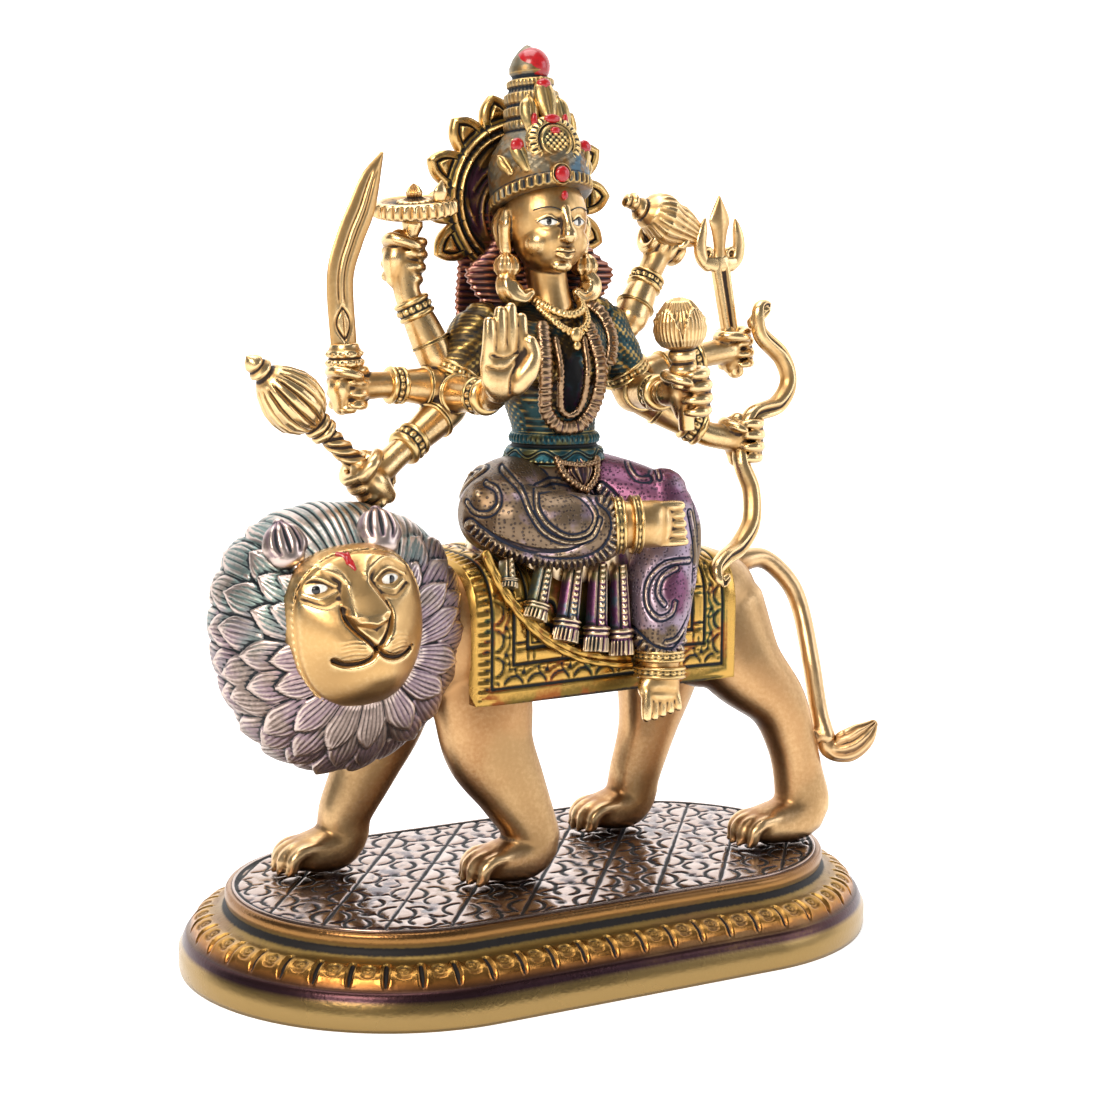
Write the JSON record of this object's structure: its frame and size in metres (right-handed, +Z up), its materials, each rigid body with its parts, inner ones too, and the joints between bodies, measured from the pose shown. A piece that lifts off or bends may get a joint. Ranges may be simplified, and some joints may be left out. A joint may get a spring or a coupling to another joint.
{
  "type": "seated goddess on lion figurine",
  "caption": "Cast brass figure of a many-armed goddess seated sideways on a walking lion, on an oval stepped plinth.",
  "frame": {"origin": "centre of the plinth's underside", "axes": "+Z up, +X towards the lion's tail, -Y the side that the goddess and the lion's face look to"},
  "size_m": [0.18, 0.104, 0.2187],
  "materials": {
    "plinth_brass": "dark lacquered brass with gold wear",
    "lion_brass": "satin brushed brass",
    "goddess_brass": "polished brass with coloured patina in the carving"
  },
  "bodies": {
    "root": {"plinth": "plinth_brass", "lion": "lion_brass", "goddess": "goddess_brass"}
  },
  "joints": []
}
